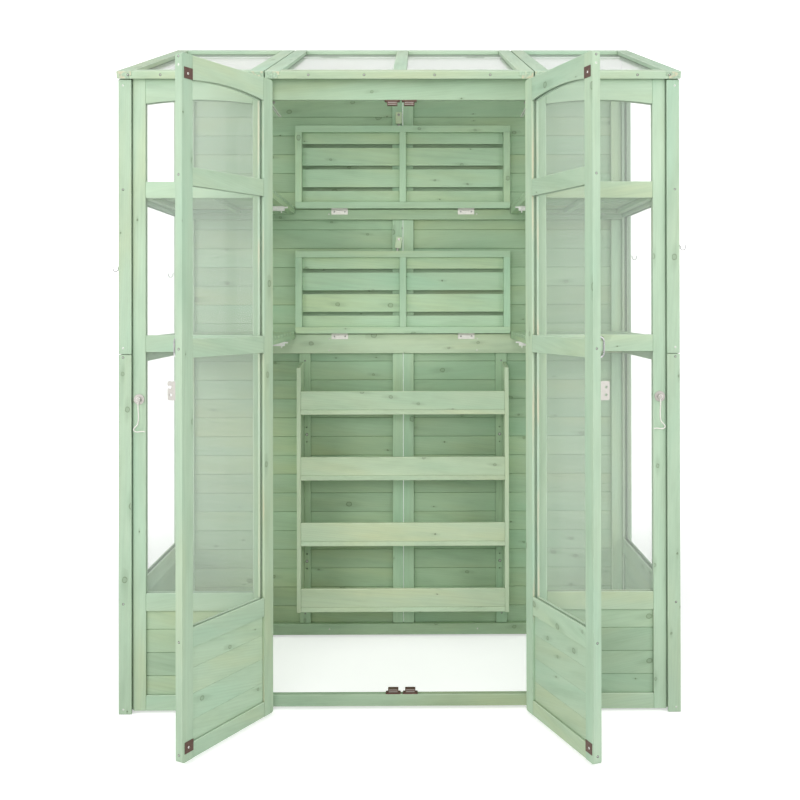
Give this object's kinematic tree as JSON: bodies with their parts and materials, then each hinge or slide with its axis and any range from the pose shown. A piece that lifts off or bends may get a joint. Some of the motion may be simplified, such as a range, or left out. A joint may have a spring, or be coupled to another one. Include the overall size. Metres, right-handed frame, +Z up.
{
  "type": "wooden mini greenhouse",
  "caption": "Tall lean-to style wooden mini greenhouse with hinged double doors, opening roof vent, slatted side shelves, folding flaps and a pot rack.",
  "frame": {"origin": "on the ground, at the middle of the box round the whole object with both doors standing open as in the picture", "axes": "+Z up, +Y towards the back wall, +X to the right as seen from the front"},
  "size_m": [1.546, 1.0448, 1.9416],
  "materials": {
    "green_wood": "semi-matt stain",
    "green_wood_inside": "matt stain",
    "clear_sheet": "clear",
    "roof_sheet": "hazy",
    "zinc": "bright zinc",
    "bronze_metal": "brown"
  },
  "bodies": {
    "cabinet": {"front_left_frame": "green_wood", "front_right_frame": "green_wood", "door_header": "green_wood", "door_sill": "green_wood", "side_left_frame": "green_wood", "side_right_frame": "green_wood", "panel_boards": "green_wood", "wall_glazing": "clear_sheet", "corner_strips": "green_wood", "back_rails": "green_wood_inside", "back_uprights": "green_wood_inside", "back_boards": "green_wood_inside", "rack_battens": "green_wood_inside", "rack_sides": "green_wood_inside", "rack_trays": "green_wood_inside", "rack_lips": "green_wood_inside", "upper_left_shelf": "green_wood_inside", "upper_right_shelf": "green_wood_inside", "lower_left_shelf": "green_wood_inside", "lower_right_shelf": "green_wood_inside", "roof_left_frame": "green_wood", "roof_right_frame": "green_wood", "roof_glazing": "roof_sheet", "fixed_hinge_leaves": "zinc", "magnetic_catches": "bronze_metal", "bolt_barrels": "zinc", "pivot_fittings": "zinc", "cup_hooks": "zinc"},
    "roof_vent": {"vent_frame": "green_wood", "vent_glazing": "roof_sheet", "vent_hinges": "zinc"},
    "upper_flap": {"upper_flap": "green_wood_inside", "upper_flap_hinges": "zinc"},
    "lower_flap": {"lower_flap": "green_wood_inside", "lower_flap_hinges": "zinc"},
    "left_door": {"left_door_frame": "green_wood", "left_door_boards": "green_wood", "left_door_glazing": "clear_sheet", "left_door_hinges": "zinc", "left_door_handle": "zinc", "left_door_hasp": "zinc", "left_door_strikes": "bronze_metal"},
    "left_cabin_hook": {"left_cabin_hook": "zinc"},
    "left_vent_stay": {"left_vent_stay": "zinc"},
    "right_door": {"right_door_frame": "green_wood", "right_door_boards": "green_wood", "right_door_glazing": "clear_sheet", "right_door_hinges": "zinc", "right_door_handle": "zinc", "right_door_hasp": "zinc", "right_door_strikes": "bronze_metal"},
    "right_cabin_hook": {"right_cabin_hook": "zinc"},
    "right_vent_stay": {"right_vent_stay": "zinc"},
    "upper_turn_button": {"upper_turn_button": "green_wood_inside"},
    "upper_left_bolt": {"upper_left_bolt": "zinc"},
    "upper_right_bolt": {"upper_right_bolt": "zinc"},
    "lower_turn_button": {"lower_turn_button": "green_wood_inside"},
    "lower_left_bolt": {"lower_left_bolt": "zinc"},
    "lower_right_bolt": {"lower_right_bolt": "zinc"}
  },
  "joints": [
    {"name": "left_door_swing", "type": "hinge", "parent": "cabinet", "child": "left_door", "pos_m": [-0.358, -0.17973, 0.85], "axis": [0, 0, 1], "range_deg": [-46.3, 118.7]},
    {"name": "right_door_swing", "type": "hinge", "parent": "cabinet", "child": "right_door", "pos_m": [0.358, -0.17973, 0.85], "axis": [0, 0, 1], "range_deg": [-110.3, 54.7]},
    {"name": "roof_vent_lift", "type": "hinge", "parent": "cabinet", "child": "roof_vent", "pos_m": [0, 0.48707, 1.90721], "axis": [-1, 0, 0], "range_deg": [0, 35]},
    {"name": "left_stay_swing", "type": "hinge", "parent": "cabinet", "child": "left_vent_stay", "pos_m": [-0.352, -0.12073, 1.64], "axis": [1, 0, 0], "range_deg": [-60, 35]},
    {"name": "right_stay_swing", "type": "hinge", "parent": "cabinet", "child": "right_vent_stay", "pos_m": [0.352, -0.12073, 1.64], "axis": [1, 0, 0], "range_deg": [-60, 35]},
    {"name": "upper_flap_fold", "type": "hinge", "parent": "cabinet", "child": "upper_flap", "pos_m": [0, 0.44947, 1.4016], "axis": [1, 0, 0], "range_deg": [0, 90]},
    {"name": "lower_flap_fold", "type": "hinge", "parent": "cabinet", "child": "lower_flap", "pos_m": [0, 0.44947, 0.9923], "axis": [1, 0, 0], "range_deg": [0, 90]},
    {"name": "upper_button_turn", "type": "hinge", "parent": "cabinet", "child": "upper_turn_button", "pos_m": [-0.013, 0.45447, 1.7126], "axis": [0, 1, 0], "range_deg": [-90, 90]},
    {"name": "lower_button_turn", "type": "hinge", "parent": "cabinet", "child": "lower_turn_button", "pos_m": [-0.013, 0.45447, 1.3033], "axis": [0, 1, 0], "range_deg": [-98, 82]},
    {"name": "left_hook_swing", "type": "hinge", "parent": "cabinet", "child": "left_cabin_hook", "pos_m": [-0.697, -0.18573, 0.838], "axis": [0, 1, 0], "range_deg": [-60, 60]},
    {"name": "right_hook_swing", "type": "hinge", "parent": "cabinet", "child": "right_cabin_hook", "pos_m": [0.697, -0.18573, 0.843], "axis": [0, 1, 0], "range_deg": [-60, 60]},
    {"name": "upper_left_bolt_draw", "type": "slide", "parent": "cabinet", "child": "upper_left_bolt", "axis": [-1, 0, 0], "range_m": [0, 0.009]},
    {"name": "upper_right_bolt_draw", "type": "slide", "parent": "cabinet", "child": "upper_right_bolt", "axis": [1, 0, 0], "range_m": [0, 0.009]},
    {"name": "lower_left_bolt_draw", "type": "slide", "parent": "cabinet", "child": "lower_left_bolt", "axis": [-1, 0, 0], "range_m": [0, 0.009]},
    {"name": "lower_right_bolt_draw", "type": "slide", "parent": "cabinet", "child": "lower_right_bolt", "axis": [1, 0, 0], "range_m": [0, 0.009]}
  ]
}
